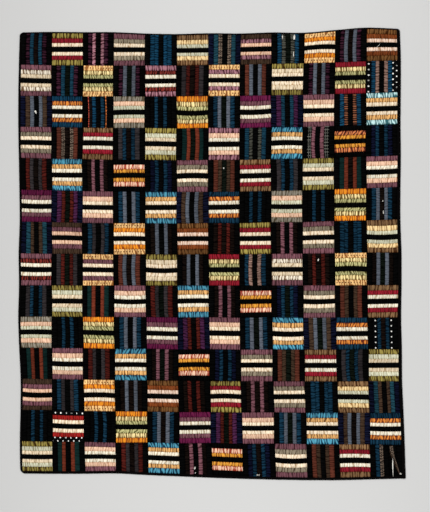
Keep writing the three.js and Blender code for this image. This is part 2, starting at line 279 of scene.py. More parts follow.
# Silks that take another's place in the lower rows, which are plainer and mostly darker
LOWER_SWAPS = {
    "ice": "turquoise", "flame": "coral", "blue": "navy", "teal": "oxblood", "plum": "bark",
    "speckled": "umber", "taupe": "charcoal", "rose": "mauve", "rungs": "slate", "plaid": "bark",
    "rose_piped": "black", "orange_piped": "black", "polka": "black", "polka_pair": "black",
}

# Two blocks with a dotted ribbon and the torn one don't follow the repeat. They are given by row
# and column, counted from one.
ODD_BLOCKS = {
    (10, 12): "black polka navy",
    (13, 2): "polka scarlet cream black cream scarlet polka_pair",
    (14, 12): "black navy speckled black black black black",
}

# The silks that a block's centre strip is picked from, by the way that its strips run
CENTRES = {"across": ("black",), "upright": ("black", "black", "pine", "bark")}

# Worn spots where bare cotton stands up as lint: x and y as in the tables of seams, length,
# width, angle in degrees and number of threads.
WORN_SPOTS = (
    (-0.6620, 0.5355, 0.009, 0.007, 15, 14),
    (-0.6595, 0.5305, 0.010, 0.004, 110, 8),
    (0.0462, 0.3226, 0.009, 0.004, 120, 9),
    (0.2666, 0.8160, 0.018, 0.003, 92, 5),
    (0.3108, 0.8140, 0.022, 0.0065, 84, 18),
    (0.3087, 0.7510, 0.021, 0.003, 90, 7),
    (0.4016, -0.0226, 0.011, 0.0045, 85, 9),
    (-0.0624, -0.8046, 0.013, 0.006, 70, 9),
    (-0.0605, -0.8225, 0.008, 0.003, 60, 4),
    (0.1718, -0.8300, 0.005, 0.005, 20, 8),
    (0.1790, -0.8300, 0.005, 0.005, 160, 8),
    (0.6437, 0.2000, 0.008, 0.003, 90, 3),
    (0.6460, 0.1560, 0.018, 0.003, 95, 4),
    (0.6274, 0.7826, 0.019, 0.0006, 48, 2),
    (0.6818, -0.8000, 0.070, 0.0030, 91, 9),
    (0.7110, -0.8255, 0.009, 0.005, 120, 9),
)

# The torn ribbon of the last block: the silk of each band, then x, y and width along its length.
TORN_BANDS = (
    ("umber", ((0.668, -0.737, 0.001), (0.673, -0.752, 0.003), (0.683, -0.777, 0.004),
               (0.697, -0.806, 0.0035), (0.708, -0.829, 0.0015))),
    ("dusty", ((0.684, -0.758, 0.002), (0.694, -0.785, 0.0035), (0.707, -0.826, 0.002))),
    ("speckled", ((0.6745, -0.7205, 0.015), (0.6765, -0.735, 0.0165), (0.680, -0.748, 0.013),
                  (0.686, -0.764, 0.006), (0.697, -0.795, 0.004), (0.706, -0.824, 0.002))),
)
TORN_POINTS = (24, 6)
TORN_EDGE_WAVE = 0.12
TORN_LIFT = 0.0002
TORN_LIFT_STEP = 0.0001
TORN_RIM_DROP = 0.0008
TORN_GATHER_PITCH = 0.006

# Lint threads: points along one, its least length as a share, its turn in radians, its bend and
# shift as shares, the tuft's roundness, and the threads' height above the crowns, radius and tips.
THREAD_POINTS = 7
LEAST_THREAD_SHARE = 0.6
THREAD_TURN = 0.22
THREAD_BEND = 0.25
THREAD_SHIFT = 0.1
TUFT_ROUNDNESS = 1.7
THREAD_HEIGHT = (0.0001, 0.0006)
THREAD_RADIUS = (0.00035, 0.0005)
THREAD_TIP = 0.25


# Layout


def through(first, middle, last, share):
    """A parabola through three values at 0, 0.5 and 1."""
    lift = middle - (first + last) / 2
    return first + (last - first) * share + lift * 4 * share * (1 - share)


def scatter(a, b):
    """Repeatable scatter between -1 and 1."""
    return math.sin(a * 12.9 + b * 7.3 + 0.7 * math.sin(a * 3.1 - b * 5.3))


def corner_place(row, column):
    """Where four blocks meet."""
    x_top, x_middle, x_bottom, y_top, y_bottom = COLUMN_SEAMS[column]
    x = through(x_top, x_middle, x_bottom, row / ROWS)
    if column == 0:
        x += LEFT_WAVER[row]
    elif column == COLUMNS:
        x += RIGHT_WAVER[row]
    else:
        x += SEWING_WANDER * scatter(row, column)
    if row == 0:
        y = y_top
    elif row == ROWS:
        y = y_bottom
    else:
        y = through(*ROW_SEAMS[row - 1], column / COLUMNS)
        y += SEWING_WANDER * scatter(column + 31, row)
    return x, y


def is_upright(row, column):
    """Whether a block's strips run up and down."""
    return (row + column) % 2 == 0


def block_corners():
    """All corners, with one more row and column on each side for the curves between them."""
    grid = np.array([[corner_place(r, c) for c in range(COLUMNS + 1)] for r in range(ROWS + 1)])
    before, after = 2 * grid[:1] - grid[1:2], 2 * grid[-1:] - grid[-2:-1]
    grid = np.concatenate([before, grid, after], axis=0)
    before, after = 2 * grid[:, :1] - grid[:, 1:2], 2 * grid[:, -1:] - grid[:, -2:-1]
    return np.concatenate([before, grid, after], axis=1)


CORNERS = block_corners()


def outline_middle():
    """The middle of the quilt's outer size, before it is moved to the origin."""
    inner = CORNERS[1:-1, 1:-1]
    left = inner[:, 0, 0].min() - BINDING_WIDTH["left"]
    right = inner[:, -1, 0].max() + BINDING_WIDTH["right"]
    top = inner[0, :, 1].max() + BINDING_WIDTH["top"]
    bottom = inner[-1, :, 1].min() - BINDING_WIDTH["bottom"]
    return (left + right) / 2, (top + bottom) / 2


MIDDLE = outline_middle()


def curve_weights(share):
    """Catmull-Rom weights of four neighbours."""
    s2, s3 = share ** 2, share ** 3
    return (
        (-s3 + 2 * s2 - share) / 2,
        (3 * s3 - 5 * s2 + 2) / 2,
        (-3 * s3 + 4 * s2 + share) / 2,
        (s3 - s2) / 2,
    )


def place(rows, columns):
    """x and y of points given by row and column numbers, with fractions inside the blocks."""
    rows, columns = np.broadcast_arrays(np.asarray(rows, float), np.asarray(columns, float))
    row = np.clip(np.floor(rows).astype(int), 0, ROWS - 1)
    column = np.clip(np.floor(columns).astype(int), 0, COLUMNS - 1)
    row_weights = curve_weights(rows - row)
    column_weights = curve_weights(columns - column)
    points = np.zeros(rows.shape + (2,))
    for i in range(4):
        for j in range(4):
            weight = row_weights[i] * column_weights[j]
            points += weight[..., None] * CORNERS[row + i, column + j]
    return points[..., 0] - MIDDLE[0], points[..., 1] - MIDDLE[1]


def loft(x, y):
    """The cloth lies a little unevenly."""
    x, y = x + MIDDLE[0], y + MIDDLE[1]
    wide = np.sin(TURN * x / WIDE_WAVE[0] + 0.8) * np.cos(TURN * y / WIDE_WAVE[1] - 0.4)
    close = np.sin(TURN * x / CLOSE_WAVE[0] + TURN * y / CLOSE_WAVE[1] + 1.9)
    return LOFT_UNEVENNESS * (WIDE_SHARE * wide + (1 - WIDE_SHARE) * close)


# Meshes


class Sewing:
    """Collects grids of points and makes one mesh of them."""

    def __init__(self):
        self.points, self.faces, self.looks = [], [], []
        self.phase, self.tone, self.ribbon = [], [], []
        self.count = 0

    def grid(
        self, x, y, z, look=0, flip=False, phase=0.0, tone=0.0, ribbon=(0.0, 0.0), closed=False
    ):
        """Adds a grid of points. closed joins its last line across to the first."""
        shape = x.shape
        number = np.arange(x.size).reshape(shape) + self.count
        if closed:
            number = np.concatenate([number, number[:, :1]], axis=1)
        a, b = number[:-1, :-1], number[1:, :-1]
        c, d = number[1:, 1:], number[:-1, 1:]
        order = (a, d, c, b) if flip else (a, b, c, d)
        quads = np.stack(order, axis=-1).reshape(-1, 4)
        self.faces.append(quads)
        self.looks.append(np.full(len(quads), look))
        self.points.append(np.stack([x, y, z], axis=-1).reshape(-1, 3))
        self.phase.append(np.broadcast_to(phase, shape).reshape(-1))
        self.tone.append(np.broadcast_to(tone, shape).reshape(-1))
        along, across = (np.broadcast_to(value, shape).reshape(-1) for value in ribbon)
        self.ribbon.append(np.stack([along, across], axis=-1))
        self.count += x.size

    def mesh(self, name, materials):
        """The finished object."""
        points, faces = np.concatenate(self.points), np.concatenate(self.faces)
        mesh = bpy.data.meshes.new(name)
        mesh.vertices.add(len(points))
        mesh.vertices.foreach_set("co", points.astype(np.float32).ravel())
        mesh.loops.add(faces.size)
        mesh.loops.foreach_set("vertex_index", faces.astype(np.int32).ravel())
        mesh.polygons.add(len(faces))
        mesh.polygons.foreach_set("loop_start", np.arange(0, faces.size, 4, dtype=np.int32))
        mesh.polygons.foreach_set("material_index", np.concatenate(self.looks).astype(np.int32))
        for label, values in (("phase", self.phase), ("tone", self.tone)):
            layer = mesh.attributes.new(label, "FLOAT", "POINT")
            layer.data.foreach_set("value", np.concatenate(values).astype(np.float32))
        ribbon = np.concatenate(self.ribbon)[faces.ravel()]
        mesh.uv_layers.new(name="ribbon").data.foreach_set("uv", ribbon.astype(np.float32).ravel())
        for material in materials:
            mesh.materials.append(material)
        mesh.update(calc_edges=True)
        mesh.validate()
        mesh.shade_smooth()
        piece = bpy.data.objects.new(name, mesh)
        bpy.context.scene.collection.objects.link(piece)
        return piece


# Materials

# Colours as 0 to 255
FOUNDATION_COTTON = (120, 108, 96)
BARE_COTTON = (236, 232, 222)
TAPE_BLACK = (5, 4, 4)
FLOOR = (207, 206, 204)

# Noise, in grains a metre: slubs, the folds' ragged and drifting edges, faded patches and uneven
# dots. Slubs and patches are drawn out across the ribbon, and each strip has its own.
SLUB_GRAIN = 900.0
RAGGED_GRAIN = 330.0
DRIFT_GRAIN = 170.0
PATCH_GRAIN = 85.0
DOT_GRAIN = 420.0
SLUB_DRAW = 0.3
PATCH_DRAW = 0.4
STRIP_TO_STRIP = 3.0

# How far the ragged and drifting noise moves the folds, against a wave from -1 to 1
RAGGED_REACH = 0.8
DRIFT_REACH = 1.1

# Painted shade in the gathers' folds: below which height of the wave the folds lie on a flat
# ribbon, how that grows with gather, at the seams and at one seam more than at the other, and how
# softly they end.
FLAT_FOLD = -0.85
FOLD_BY_GATHER = 0.8
RIM_FOLD = 0.3
RIM_FOLD_BY_GATHER = 0.4
SIDE_FOLD_BY_GATHER = 0.35
FOLD_SOFTNESS = 0.7

# What slubs, patches and a painted highlight on the crests multiply the colour by, from least to
# most, and how much strips of one silk differ, less in a bright one.
SLUB_SHADE = (0.82, 1.18)
PATCH_SHADE = (0.2, 1.7)
CREST_HIGHLIGHT = (0.95, 1.11)
CREST_HIGHLIGHT_START = 0.3
TONE_SPREAD = 0.24
TONE_CALM = 0.18

# The silk's surface: its rib, the height and strength of its weave and creases, and its sheen
RIB_PITCH = 0.0009
WEAVE_BUMP = (0.00012, 0.5)
CREASE_BUMP = (0.0009, 0.6)
SILK_ROUGHNESS = (0.42, 0.67)
SILK_SHEEN = (0.01, 0.17)

# Soft edges of the patterns, as shares of a dot's radius, a line's width and a bar's spacing.
# Then the ink's strength between dashes and in the plaid, and the plaid's bars.
DOT_EDGE = (0.8, 1.15)
LINE_EDGE = (0.4, 0.6)
BAR_EDGE = 0.08
DASH_GAP_INK = 0.3
PLAID_BAR_SHARE = 0.1
PLAID_INK = 0.6

# Plain cotton: wide clouds and fine flecks, in grains a metre, and what they do to it
CLOUD_GRAIN = 9.0
FLECK_GRAIN = 700.0
CLOUD_SHADE = 0.35
FLECK_SHADE = 0.5
COTTON_SHADE = 0.58
FLECK_HEIGHT = 1.2
COTTON_ROUGHNESS = (0.72, 0.92)


def linear(colour):
    """A 0 to 255 screen colour as the linear colour that shaders take."""
    shares = [value / 255 for value in colour]
    return tuple(s / 12.92 if s <= 0.04045 else ((s + 0.055) / 1.055) ** 2.4 for s in shares)


class Wiring:
    """Short names for building a material's nodes."""

    def __init__(self, name):
        self.material = bpy.data.materials.new(name)
        self.material.use_nodes = True
        self.nodes = self.material.node_tree.nodes
        self.links = self.material.node_tree.links
        self.shader = self.nodes["Principled BSDF"]

    def put(self, socket, value):
        """Links a socket or sets a number or colour."""
        if isinstance(value, bpy.types.NodeSocket):
            self.links.new(value, socket)
        elif isinstance(value, tuple) and len(value) == 3 and socket.type == "RGBA":
            socket.default_value = (*value, 1.0)
        else:
            socket.default_value = value

    def node(self, kind, inputs, **settings):
        """A new node with its settings, and with each input linked or set."""
        node = self.nodes.new(kind)
        for key, value in settings.items():
            setattr(node, key, value)
        for key, value in inputs.items():
            self.put(node.inputs[key], value)
        return node

    def math(self, operation, a, b=0.0, c=0.0):
        return self.node("ShaderNodeMath", {0: a, 1: b, 2: c}, operation=operation).outputs[0]

    def times(self, a, b):
        return self.math("MULTIPLY", a, b)

    def spread(self, value, least, most):
        """Turns 0 to 1 into least to most."""
        return self.math("MULTIPLY_ADD", value, most - least, least)

    def step(self, value, low, high):
        """0 below low, 1 above high and smooth between."""
        inputs = {"Value": value, "From Min": low, "From Max": high}
        return self.node("ShaderNodeMapRange", inputs, interpolation_type="SMOOTHSTEP").outputs[0]

    def mix(self, share, a, b):
        inputs = {"Factor": share, 6: a, 7: b}
        return self.node("ShaderNodeMix", inputs, data_type="RGBA").outputs[2]

    def brighten(self, colour, factor):
        """Multiplies a colour by a number."""
        node = self.node("ShaderNodeVectorMath", {0: colour, "Scale": factor}, operation="SCALE")
        return node.outputs[0]

    def vector(self, x, y, z):
        return self.node("ShaderNodeCombineXYZ", {0: x, 1: y, 2: z}).outputs[0]

    def drawn_out(self, vector, share):
        """Makes what is read from a place longer across the ribbon."""
        return self.node("ShaderNodeMapping", {0: vector, "Scale": (1.0, share, 1.0)}).outputs[0]

    def noise(self, vector, scale, detail=2.0, roughness=0.5):
        inputs = {"Vector": vector, "Scale": scale, "Detail": detail, "Roughness": roughness}
        return self.node("ShaderNodeTexNoise", inputs).outputs[0]

    def attribute(self, name):
        return self.node("ShaderNodeAttribute", {}, attribute_name=name).outputs["Fac"]

    def ribbon_place(self):
        """Metres along the ribbon and the share of its width across it."""
        uv = self.node("ShaderNodeUVMap", {}, uv_map="ribbon").outputs[0]
        split = self.node("ShaderNodeSeparateXYZ", {0: uv})
        return split.outputs[0], split.outputs[1]

    def bump(self, height, distance, strength=1.0, normal=None):
        inputs = {"Height": height, "Distance": distance, "Strength": strength}
        if normal is not None:
            inputs["Normal"] = normal
        return self.node("ShaderNodeBump", inputs).outputs[0]


def union(w, masks):
    """The greatest of several masks."""
    both = masks[0]
    for mask in masks[1:]:
        both = w.math("MAXIMUM", both, mask)
    return both


def dots(w, along, across, spacing, radius, places):
    """Dots in rows along the ribbon. Each place is its share across and its shift along."""
    here = w.vector(along, w.times(across, STRIP_WIDTH), 0.0)
    uneven = w.spread(w.noise(here, DOT_GRAIN), -radius / 2, radius / 2)
    masks = []
    for share, shift in places:
        turn = w.math("FRACT", w.math("ADD", w.math("DIVIDE", along, spacing), shift))
        from_centre = w.times(w.math("SUBTRACT", turn, 0.5), spacing)
        aside = w.times(w.math("SUBTRACT", across, share), STRIP_WIDTH)
        square = w.math("ADD", w.math("POWER", from_centre, 2.0), w.math("POWER", aside, 2.0))
        distance = w.math("ADD", w.math("SQRT", square), uneven)
        outside = w.step(distance, radius * DOT_EDGE[0], radius * DOT_EDGE[1])
        masks.append(w.math("SUBTRACT", 1.0, outside))
    return union(w, masks)


def lines(w, across, places):
    """Lines along the ribbon. Each place is its share across and its width as a share."""
    masks = []
    for share, width in places:
        aside = w.math("ABSOLUTE", w.math("SUBTRACT", across, share))
        outside = w.step(aside, width * LINE_EDGE[0], width * LINE_EDGE[1])
        masks.append(w.math("SUBTRACT", 1.0, outside))
    return union(w, masks)


def crossbars(w, along, spacing, share):
    """Bars across the ribbon that take a share of each spacing."""
    turn = w.math("FRACT", w.math("DIVIDE", along, spacing))
    return w.math("SUBTRACT", 1.0, w.step(turn, share, share + BAR_EDGE))


def pattern_mask(w, kind, along, across, details):
    """Where a ribbon's second colour shows, or None on a plain one."""
    if kind == "dots":
        return dots(w, along, across, details["spacing"], details["radius"], details["places"])
    if kind == "dashes":
        bars = crossbars(w, along, details["spacing"], details["share"])
        ink = w.spread(bars, DASH_GAP_INK, 1.0)
        return w.times(lines(w, across, details["places"]), ink)
    if kind == "bars":
        return crossbars(w, along, details["spacing"], details["share"])
    if kind == "plaid":
        bars = crossbars(w, along, details["spacing"], PLAID_BAR_SHARE)
        both = w.math("MAXIMUM", lines(w, across, details["places"]), bars)
        return w.times(both, PLAID_INK)
    return None


def gather_wave(w):
    """The gathers' height from -1 to 1, from the phase that the mesh carries."""
    phase = w.attribute("phase")
    second = w.math("SINE", w.times(phase, OVERTONE_RATE))
    both = w.math("MULTIPLY_ADD", second, OVERTONE, w.math("SINE", phase))
    return w.math("DIVIDE", both, 1 + OVERTONE)


def painted_fold_shade_mask(w, wave, across, tone, gather):
    """Painted shade: 1 in the gathers' folds, which are wider at the seams and most at one, 0 on
    crests.
    """
    side = w.math("MULTIPLY_ADD", across, 2.0, -1.0)
    rim = w.times(side, side)
    at_rim = RIM_FOLD + RIM_FOLD_BY_GATHER * gather
    limit = w.math("MULTIPLY_ADD", rim, at_rim, FOLD_BY_GATHER * gather + FLAT_FOLD)
    one_side = w.times(side, tone)
    limit = w.math("MULTIPLY_ADD", one_side, SIDE_FOLD_BY_GATHER * gather, limit)
    return w.step(w.math("SUBTRACT", limit, wave), -FOLD_SOFTNESS, FOLD_SOFTNESS)


def silk_colour(w, kind, ribbon, drawn, tone, wave):
    """The ribbon's colour with its pattern, and painted shade darker in the ragged folds of its
    gathers.
    """
    along, across = ribbon
    colour = linear(kind["colour"])
    mask = pattern_mask(w, kind["pattern"], along, across, kind["details"])
    if mask is not None:
        colour = w.mix(mask, colour, linear(kind["details"]["ink"]))
    ragged = w.spread(w.noise(drawn, RAGGED_GRAIN, 2.0, 0.6), -RAGGED_REACH, RAGGED_REACH)
    drift = w.spread(w.noise(drawn, DRIFT_GRAIN, 2.0, 0.5), -DRIFT_REACH, DRIFT_REACH)
    uneven = w.math("ADD", wave, w.math("ADD", ragged, drift))
    # Painted shade: the colour turns to the silk's darker fold colour in the gathers' valleys.
    folds = painted_fold_shade_mask(w, uneven, across, tone, kind["gather"])
    return w.mix(folds, colour, linear(kind["shade"]))


def silk_mottle_and_highlight(w, here, tone, wave, slub, brightness):
    """What the colour is multiplied by: slubs, faded patches, the strip's tone and a painted
    highlight on the crests.
    """
    patch = w.noise(w.drawn_out(here, PATCH_DRAW), PATCH_GRAIN, 4.0, 0.75)
    own = w.math("MULTIPLY_ADD", tone, TONE_SPREAD - TONE_CALM * brightness, 1.0)
    # Painted highlight: the crests of the gathers are lighter, and the rest a little darker.
    crests = w.spread(w.step(wave, CREST_HIGHLIGHT_START, 1.0), *CREST_HIGHLIGHT)
    shade = w.times(w.spread(slub, *SLUB_SHADE), w.spread(patch, *PATCH_SHADE))
    return w.times(w.times(shade, own), crests)


def silk_surface(w, along, wave, slub, gather, brightness):
    """A fine crosswise rib on the gathers, and a soft sheen."""
    rib = w.math("SINE", w.times(along, TURN / RIB_PITCH))
    weave = w.math("ADD", w.times(rib, 0.5), w.times(slub, 1.5))
    fine = w.bump(weave, *WEAVE_BUMP)
    height, strength = CREASE_BUMP
    w.put(w.shader.inputs["Normal"], w.bump(wave, height * gather, strength, fine))
    w.put(w.shader.inputs["Roughness"], w.spread(slub, *SILK_ROUGHNESS))
    least, most = SILK_SHEEN
    w.shader.inputs["Specular IOR Level"].default_value = least + (most - least) * brightness


def silk_material(name):
    """Gathered silk ribbon."""
    kind = SILKS[name]
    brightness = max(linear(kind["colour"]))
    w = Wiring("silk_" + name)
    along, across = w.ribbon_place()
    tone, wave = w.attribute("tone"), gather_wave(w)
    aside = w.times(across, STRIP_WIDTH)
    here = w.vector(along, aside, w.times(tone, STRIP_TO_STRIP))
    drawn = w.drawn_out(here, SLUB_DRAW)
    slub = w.noise(drawn, SLUB_GRAIN, 3.0, 0.6)
    colour = silk_colour(w, kind, (along, across), drawn, tone, wave)
    shade = silk_mottle_and_highlight(w, here, tone, wave, slub, brightness)
    w.put(w.shader.inputs["Base Color"], w.brighten(colour, shade))
    silk_surface(w, along, wave, slub, kind["gather"], brightness)
    return w.material


def cotton_material(name, colour, thread=0.0007, depth=0.0002, shine=0.2):
    """Plain woven cloth, read from its place in space."""
    w = Wiring(name)
    here = w.node("ShaderNodeTexCoord", {}).outputs["Object"]
    split = w.node("ShaderNodeSeparateXYZ", {0: here})
    warp = w.math("SINE", w.times(split.outputs[0], TURN / thread))
    weft = w.math("SINE", w.times(split.outputs[1], TURN / thread))
    cloud = w.noise(here, CLOUD_GRAIN, 4.0, 0.6)
    fleck = w.noise(here, FLECK_GRAIN, 2.0, 0.6)
    flecks = w.times(fleck, FLECK_SHADE)
    shade = w.math("ADD", w.times(cloud, CLOUD_SHADE), flecks)
    shade = w.math("ADD", shade, COTTON_SHADE)
    w.put(w.shader.inputs["Base Color"], w.brighten(linear(colour), shade))
    fuzz = w.times(fleck, FLECK_HEIGHT)
    height = w.math("ADD", w.times(warp, weft), fuzz)
    w.put(w.shader.inputs["Normal"], w.bump(height, depth, 0.5))
    w.put(w.shader.inputs["Roughness"], w.spread(fleck, *COTTON_ROUGHNESS))
    w.shader.inputs["Specular IOR Level"].default_value = shine
    return w.material


# Pieces


def strip_edges(rng):
    """The strips' edges in one block as shares of its side, and how far each leans and bends."""
    spread = [share * (1 + rng.uniform(-WIDTH_SPREAD, WIDTH_SPREAD)) for share in STRIP_SHARES]
    shares = np.array(spread)
    edges = np.concatenate([[0.0], np.cumsum(shares) / shares.sum()])
    free = np.clip(4 * np.minimum(edges, 1 - edges), 0, 1)
    lean = rng.uniform(-SEAM_LEAN, SEAM_LEAN)
    bend = rng.uniform(-1, 1) ** 3 * SEAM_BEND
    return edges, free * lean, free * bend


def strip_places(row, column, k, edges, s, c):
    """x and y of a strip's points, from their shares s of its length and c of its width."""
    lay, lean, bend = edges
    first_tuck = TUCK * (column > 0)
    last_tuck = TUCK * (column < COLUMNS - 1)
    if is_upright(row, column):
        lay = np.concatenate([[-first_tuck], lay[1:-1], [1 + last_tuck]])
    near = lay[k] + lean[k] * (s - 0.5) + bend[k] * 4 * s * (1 - s)
    far = lay[k + 1] + lean[k + 1] * (s - 0.5) + bend[k + 1] * 4 * s * (1 - s)
    side = near + (far - near) * c
    if is_upright(row, column):
        return place(row + s, column + side)
    return place(row + side, column + first_tuck + (1 - first_tuck - last_tuck) * s)


def smooth_end(distance, reach):
    """Rises from 0 at an end to 1 at a distance of reach from it, round as a folded edge."""
    share = np.clip(distance / reach, 0, 1)
    return np.sqrt(1 - (1 - share) ** 2)


def gathers(along, across, kind, rng):
    """The gathers' phase over a ribbon. They slant and wander a little."""
    slant = rng.uniform(-1, 1) * kind["lean"]
    swing = rng.uniform(LEAST_SWING, 1) * kind["lean"]
    start, second, third = (rng.uniform(0, TURN) for _ in range(3))
    lean = slant + swing * np.sin(TURN * along / SWING_LENGTH + second)
    long_wave = LONG_WANDER[0] * np.sin(TURN * along / LONG_WANDER[1] + third)
    short_wave = SHORT_WANDER[0] * np.sin(TURN * along / SHORT_WANDER[1] + second)
    wander = long_wave + short_wave
    return TURN * (along / kind["pitch"] + lean * (across - 0.5) + wander) + start


def wave_of(phase):
    """The gathers' height, from -1 to 1, as the silk's shader has it too."""
    return (np.sin(phase) + OVERTONE * np.sin(OVERTONE_RATE * phase)) / (1 + OVERTONE)


def strip_points(gather):
    """The shares of a strip's length and width at which its mesh has points, as two grids."""
    count = DEEP_BODY_POINTS if gather > DEEP_GATHER else SHALLOW_BODY_POINTS
    along = np.concatenate([STRIP_START, np.linspace(*STRIP_BODY, count), STRIP_END])
    return np.meshgrid(along, ACROSS_POINTS, indexing="ij")


def add_strip(sewing, row, column, k, edges, name, look, rng):
    """One ribbon strip of a block: a puffed, gathered band whose edges turn down into the seams."""
    kind = SILKS[name]
    s, c = strip_points(kind["gather"])
    x, y = strip_places(row, column, k, edges, s, c)
    length = s * BLOCK_SIDE
    phase = gathers(length, c, kind, rng)
    rim = np.abs(2 * c - 1)
    crown = np.maximum(1 - rim ** CROWN_FLATNESS, 0) ** CROWN_FULLNESS
    ends = smooth_end(np.minimum(s, 1 - s) * BLOCK_SIDE, END_ROUNDING)
    depth = kind["gather"] * (GATHER_IN_MIDDLE + (1 - GATHER_IN_MIDDLE) * rim)
    puff = 1 + GATHER_RISE * depth * wave_of(phase) + rng.uniform(-PUFF_SPREAD, PUFF_SPREAD)
    rise = CROWN_RISE * crown * ends * puff
    dip = RIM_DIP * (1 - np.minimum(crown, ends) ** RIM_DIP_POWER)
    z = SEAM_HEIGHT - dip + loft(x, y) + rise
    tone = rng.uniform(-1, 1)
    sewing.grid(x, y, z, look, is_upright(row, column), phase, tone, (length, c))


def block_silks(row, column, rng):
    """The seven silks of a block."""
    if row < len(CHART):
        names = CHART[row][column].split()
    else:
        source, shift = REPEATS[row - len(CHART)]
        names = CHART[source][(column - shift) % COLUMNS].split()
        names = [LOWER_SWAPS.get(name, name) for name in names]
    if (row + 1, column + 1) in ODD_BLOCKS:
        names = ODD_BLOCKS[row + 1, column + 1].split()
    if len(names) == STRIPS:
        return names
    way = "upright" if is_upright(row, column) else "across"
    return (*names, rng.choice(CENTRES[way]), *reversed(names))


def ribbon_row(row, materials):
    """One row of twelve blocks as one piece. Each block has its own repeatable random draws."""
    sewing = Sewing()
    used = []
    for column in range(COLUMNS):
        rng = random.Random(row * 100 + column + 7)
        edges = strip_edges(rng)
        for k, name in enumerate(block_silks(row, column, rng)):
            if name not in used:
                used.append(name)
            add_strip(sewing, row, column, k, edges, name, used.index(name), rng)
    return sewing.mesh(f"ribbons_row_{row + 1:02d}", [materials[name] for name in used])


def around(rows, columns):
    """Row and column numbers once around the cloth, down its left side first."""
    left, right = np.zeros(len(rows) - 1), np.full(len(rows) - 1, COLUMNS)
    top, bottom = np.zeros(len(columns) - 1), np.full(len(columns) - 1, ROWS)
    rim_rows = np.concatenate([rows[:-1], bottom, rows[:0:-1], top])
    rim_columns = np.concatenate([left, columns[:-1], right, columns[:0:-1]])
    return rim_rows, rim_columns


def foundation(material):
    """The cloth that the ribbons are sewn to: a thin closed sheet."""
    sewing = Sewing()
    rows = np.linspace(0, ROWS, ROWS * FOUNDATION_POINTS_A_BLOCK + 1)
    columns = np.linspace(0, COLUMNS, COLUMNS * FOUNDATION_POINTS_A_BLOCK + 1)
    x, y = place(*np.meshgrid(rows, columns, indexing="ij"))
    top = FOUNDATION_TOP + loft(x, y)
    sewing.grid(x, y, top)
    sewing.grid(x, y, np.zeros_like(top), flip=True)
    x, y = place(*around(rows, columns))
    top = FOUNDATION_TOP + loft(x, y)
    sewing.grid(np.stack([x, x]), np.stack([y, y]), np.stack([top, 0 * top]), closed=True)
    piece = sewing.mesh("foundation", [material])
    weld(piece)
    return piece


def weld(piece):
    """Joins points that lie on each other, so that the mesh closes."""
    work = bmesh.new()
    work.from_mesh(piece.data)
    bmesh.ops.remove_doubles(work, verts=work.verts, dist=1e-6)
    bmesh.ops.recalc_face_normals(work, faces=work.faces)
    work.to_mesh(piece.data)
    work.free()


def top_height(x, y):
    """Just over the ribbons' crowns."""
    return SEAM_HEIGHT + CROWN_RISE + loft(x, y)


def thread(sewing, x, y, z, radius, look=0):
    """A thread along points, as a thin four-sided tube with pointed ends."""
    run_x, run_y = np.gradient(x), np.gradient(y)
    length = np.hypot(run_x, run_y)
    side_x, side_y = -run_y / length, run_x / length
    from_end = np.minimum(np.arange(len(x)), np.arange(len(x))[::-1])
    thin = radius * np.minimum(1, THREAD_TIP + from_end)
    angles = np.arange(4) * math.pi / 2
    out, up = np.cos(angles)[None, :] * thin[:, None], np.sin(angles)[None, :] * thin[:, None]
    sewing.grid(
        x[:, None] + side_x[:, None] * out,
        y[:, None] + side_y[:, None] * out,
        z[:, None] + up,
        look,
        closed=True,
    )


def lint(sewing, spot, rng):
    """A tuft of bare cotton threads."""
    x, y, length, width, angle, count = spot
    t = np.linspace(-0.5, 0.5, THREAD_POINTS)
    for _ in range(count):
        aside = rng.uniform(-0.5, 0.5)
        fullness = math.sqrt(1 - (TUFT_ROUNDNESS * aside) ** 2)
        reach = length * rng.uniform(LEAST_THREAD_SHARE, 1) * fullness
        stray = rng.uniform(-THREAD_TURN, THREAD_TURN) * min(1, 3 * width / length)
        turn = math.radians(angle) + stray
        room = min(width, THREAD_BEND * length)
        bend = rng.uniform(-THREAD_BEND, THREAD_BEND) * room * (1 - 4 * t ** 2)
        forward = t * reach + rng.uniform(-THREAD_SHIFT, THREAD_SHIFT) * length
        sideways = aside * width + bend
        px = x - MIDDLE[0] + math.cos(turn) * forward - math.sin(turn) * sideways
        py = y - MIDDLE[1] + math.sin(turn) * forward + math.cos(turn) * sideways
        pz = top_height(px, py) + rng.uniform(*THREAD_HEIGHT) * (1 - 3 * t ** 2)
        thread(sewing, px, py, pz, rng.uniform(*THREAD_RADIUS))


def torn_band(sewing, line, look, lift):
    """A narrow piece of torn ribbon that lies over the others."""
    points_along, points_across = TORN_POINTS
    share = np.linspace(0, 1, points_along)
    known = np.linspace(0, 1, len(line))
    given_x, given_y, given_width = np.array(line).T
    x = np.interp(share, known, given_x) - MIDDLE[0]
    y = np.interp(share, known, given_y) - MIDDLE[1]
    width = np.interp(share, known, given_width)
    run_x, run_y = np.gradient(x), np.gradient(y)
    length = np.hypot(run_x, run_y)
    across = np.linspace(-0.5, 0.5, points_across)[None, :]
    ragged = 1 + TORN_EDGE_WAVE * np.sin(np.arange(points_along) * 2.4)[:, None]
    aside = across * width[:, None] * ragged
    px = x[:, None] - run_y[:, None] / length[:, None] * aside
    py = y[:, None] + run_x[:, None] / length[:, None] * aside
    rim = (2 * across) ** 4
    pz = top_height(px, py) + lift * (1 - rim) - TORN_RIM_DROP * rim
    along = np.cumsum(length)[:, None]
    phase = TURN * along / TORN_GATHER_PITCH + across
    sewing.grid(px, py, pz, look, phase=phase, ribbon=(along, across + 0.5))


